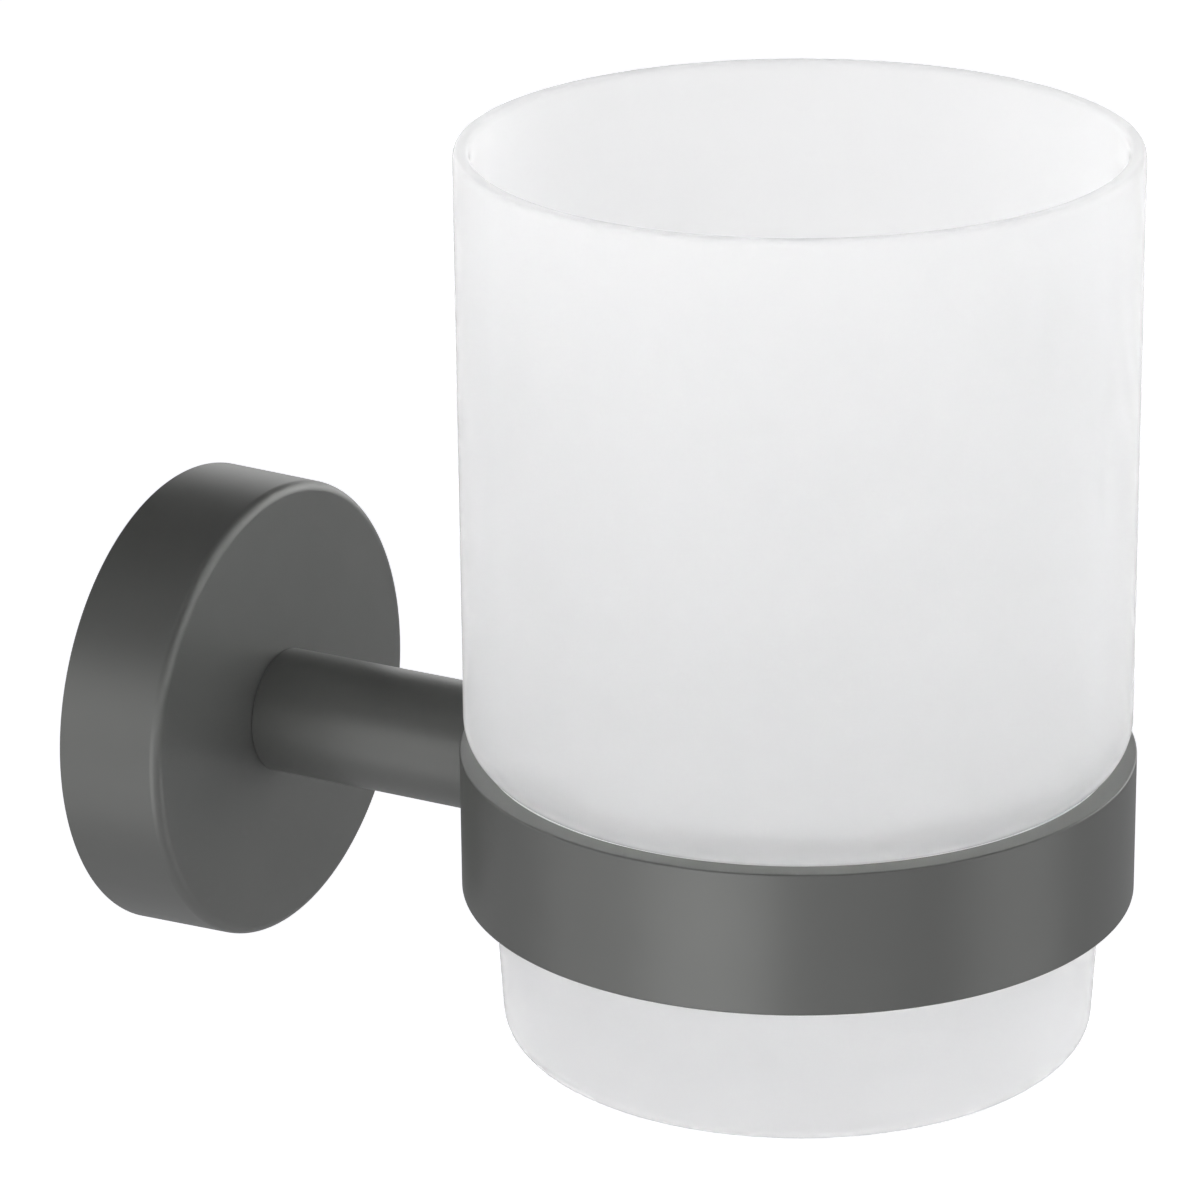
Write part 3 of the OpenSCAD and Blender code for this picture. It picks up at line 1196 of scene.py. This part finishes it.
@dataclass(frozen=True)
class Softbox:
    """A large round soft lamp that faces the object. At a brightness of 1 its face is plain white."""

    name: str
    azimuth: float
    elevation: float
    brightness: float
    size: float = 0.85
    distance: float = 1.2

    def build(self, target: Vector) -> None:
        """Places the lamp.

        Args:
            target: The point that it faces.
        """
        azimuth, elevation = math.radians(self.azimuth), math.radians(self.elevation)
        away = Vector((
            math.sin(azimuth) * math.cos(elevation),
            -math.cos(azimuth) * math.cos(elevation),
            math.sin(elevation),
        ))
        lamp = bpy.data.lights.new(self.name, "AREA")
        lamp.shape = "DISK"
        lamp.size = self.size
        lamp.energy = self.brightness * (math.pi * self.size / 2) ** 2
        holder = bpy.data.objects.new(self.name, lamp)
        holder.location = target + away * self.distance
        holder.rotation_euler = away.to_track_quat("Z", "Y").to_euler()
        holder.visible_camera = False
        bpy.context.scene.collection.objects.link(holder)


@dataclass
class Studio:
    """Camera, soft lamps, a horizon and a plain pale floor.

    The glow values say how bright the floor and the world are to the camera, to rays that
    come through glass, and to all others. The ceiling is dim because the metal mirrors it.
    """

    target: Vector = field(default_factory=lambda: Vector((0, -0.06, 0.01)))
    camera_place: Vector = field(default_factory=lambda: Vector((-0.500249, -0.337229, 0.230585)))
    camera_yaw: float = 60.5917
    camera_pitch: float = 20.0868
    camera_roll: float = -0.6254
    camera_lens: float = 164.8016
    sensor: float = 36.0
    floor_z: float = -0.8
    floor_size: float = 12.0
    floor_colour: str = "#e5e5e7"
    floor_tint: str = "#fcfcff"
    floor_glow: float = 0.11
    floor_glow_glass: float = 0.4
    floor_glow_camera: float = 0.84
    world_glow_glass: float = 1.1
    world_glow_camera: float = 1.0
    ceiling: float = 0.09
    horizon_top: float = 0.25
    ceiling_foot: float = 0.6
    lit_side: float = 0.85
    far_side: float = 1.05
    side_blend: float = 0.35
    lit_from: tuple[float, float, float] = (-0.83, -0.56, 0.0)
    lamps: tuple[Softbox, ...] = (
        Softbox("left_softbox", azimuth=-91, elevation=-20, brightness=1.15, size=0.95),
        Softbox("left_back_softbox", azimuth=-135, elevation=-25, brightness=0.45),
        Softbox("front_left_low_softbox", azimuth=-45, elevation=-20, brightness=0.22),
        Softbox("front_low_softbox", azimuth=15, elevation=-20, brightness=0.53),
        Softbox("left_top_softbox", azimuth=-110, elevation=55, brightness=0.2),
        Softbox("right_softbox", azimuth=60, elevation=10, brightness=1.05),
        Softbox("right_top_softbox", azimuth=66, elevation=34, brightness=0.78, size=0.5),
        Softbox("right_side_softbox", azimuth=85, elevation=12, brightness=0.74, size=0.6),
    )

    def build(self) -> None:
        """Makes the whole studio."""
        self.build_camera()
        self.build_floor()
        self.build_world()
        for lamp in self.lamps:
            lamp.build(self.target)
        bpy.context.scene.view_settings.view_transform = "Standard"

    def build_camera(self) -> None:
        """Places the camera, which has no shift and no blur."""
        yaw, pitch, roll = (math.radians(a) for a in (self.camera_yaw, self.camera_pitch, self.camera_roll))
        ahead = Vector((math.sin(yaw) * math.cos(pitch), math.cos(yaw) * math.cos(pitch), -math.sin(pitch)))
        level = Vector((math.cos(yaw), -math.sin(yaw), 0))
        right = math.cos(roll) * level + math.sin(roll) * level.cross(ahead)
        up = right.cross(ahead)
        data = bpy.data.cameras.new("camera")
        data.sensor_width = self.sensor
        data.lens = self.camera_lens
        camera = bpy.data.objects.new("camera", data)
        turn = Matrix((right, up, -ahead)).transposed().to_4x4()
        camera.matrix_world = Matrix.Translation(self.camera_place) @ turn
        bpy.context.scene.collection.objects.link(camera)
        bpy.context.scene.camera = camera

    def build_floor(self) -> None:
        """Makes the floor, which shows white to the camera and still takes the shadow."""
        mesh = bpy.data.meshes.new("floor")
        half = self.floor_size / 2
        sides = ((-half, -half), (half, -half), (half, half), (-half, half))
        mesh.from_pydata([(x, y, self.floor_z) for x, y in sides], [], [(0, 1, 2, 3)])
        floor = bpy.data.objects.new("floor", mesh)
        bpy.context.scene.collection.objects.link(floor)
        material = bpy.data.materials.new("matt_pale_floor")
        material.use_nodes = True
        tree = material.node_tree
        tree.nodes.clear()
        paint = add_node(tree, "ShaderNodeBsdfDiffuse", inputs={"Color": linear(self.floor_colour)})
        level = self.ray_level(tree, self.floor_glow_camera, self.floor_glow_glass, self.floor_glow)
        light = {"Color": linear(self.floor_tint), "Strength": level}
        glow = add_node(tree, "ShaderNodeEmission", inputs=light)
        both = add_node(tree, "ShaderNodeAddShader", inputs={0: paint.outputs[0], 1: glow.outputs[0]})
        add_node(tree, "ShaderNodeOutputMaterial", inputs={"Surface": both.outputs[0]})
        mesh.materials.append(material)

    def ray_level(self, tree: NodeTree, camera: float, glass: float, other: SocketValue) -> NodeSocket:
        """Sets how bright the floor or the world is to each kind of ray.

        Args:
            tree: The node tree of the floor or the world.
            camera: The level for rays from the camera.
            glass: The level for rays that come through glass.
            other: The level for all other rays, which light the object.

        Returns:
            The level.
        """
        path = add_node(tree, "ShaderNodeLightPath")
        level = other
        for ray, seen in (("Is Transmission Ray", glass), ("Is Camera Ray", camera)):
            inputs = {0: path.outputs[ray], 2: level, 3: seen}
            level = add_node(tree, "ShaderNodeMix", {"data_type": "FLOAT"}, inputs).outputs[0]
        return level

    def build_world(self) -> None:
        """Shows white behind the object, and lights it from a horizon under a dim ceiling."""
        world = bpy.data.worlds.new("studio")
        world.use_nodes = True
        bpy.context.scene.world = world
        tree = world.node_tree
        tree.nodes.clear()
        way = add_node(tree, "ShaderNodeTexCoord").outputs["Generated"]
        height = add_node(tree, "ShaderNodeSeparateXYZ", inputs={0: way}).outputs["Z"]
        facing = {0: way, 1: self.lit_from}
        side = add_node(tree, "ShaderNodeVectorMath", {"operation": "DOT_PRODUCT"}, facing).outputs["Value"]
        fades = (
            (height, self.horizon_top, self.ceiling_foot, 1.0, 0.0),
            (side, -self.side_blend, self.side_blend, self.far_side, self.lit_side),
        )
        low, horizon = (
            add_node(
                tree,
                "ShaderNodeMapRange",
                {"interpolation_type": "SMOOTHSTEP"},
                {"Value": value, "From Min": start, "From Max": end, "To Min": first, "To Max": last},
            ).outputs[0]
            for value, start, end, first, last in fades
        )
        inputs = {0: low, 1: horizon, 2: self.ceiling}
        lit = add_node(tree, "ShaderNodeMath", {"operation": "MULTIPLY_ADD"}, inputs).outputs[0]
        level = self.ray_level(tree, self.world_glow_camera, self.world_glow_glass, lit)
        sky = add_node(tree, "ShaderNodeBackground", inputs={"Color": linear("#ffffff"), "Strength": level})
        add_node(tree, "ShaderNodeOutputWorld", inputs={"Surface": sky.outputs[0]})


def main() -> None:
    """Builds the studio and the sub-assemblies in order."""
    logging.basicConfig(level=logging.INFO, format="%(name)s: %(message)s")
    Studio().build()
    layout = Layout.from_frame()
    ring = RingAssembly(layout)
    for part in (Tumbler(layout), ring, Arm(layout, ring), Rosette(layout), WallFixing(layout)):
        part.build()
        LOG.info("%s is done", type(part).__name__)


if __name__ == "__main__":
    main()
